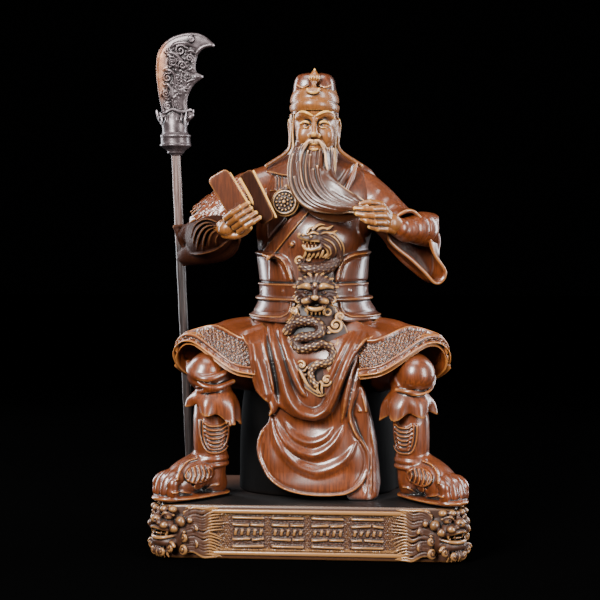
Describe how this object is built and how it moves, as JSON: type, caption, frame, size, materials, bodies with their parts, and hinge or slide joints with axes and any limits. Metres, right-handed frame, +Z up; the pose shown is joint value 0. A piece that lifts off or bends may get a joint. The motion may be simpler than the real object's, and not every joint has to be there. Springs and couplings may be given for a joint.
{
  "type": "seated general statue",
  "caption": "Seated bearded general in armour and robe on a low plinth with lion heads, holding a book and his beard, a tall crescent-bladed polearm at his side.",
  "frame": {"origin": "middle of the plinth's underside, on the surface that it stands on", "axes": "+Z up, -Y the figure's front, +X the viewer's right"},
  "size_m": [0.2581, 0.1493, 0.4094],
  "materials": {
    "lacquered_resin": "cast resin painted as carved rosewood, brushed grain, dark wash in the hollows, satin lacquer",
    "shaft_paint": "round rod painted dark brown-grey, satin",
    "pewter_paint": "cast blade painted dark pewter over brown, raised parts rubbed bright"
  },
  "bodies": {
    "root": {"figure_and_plinth": "lacquered_resin", "polearm_shaft": "shaft_paint", "polearm_head": "pewter_paint"}
  },
  "joints": []
}
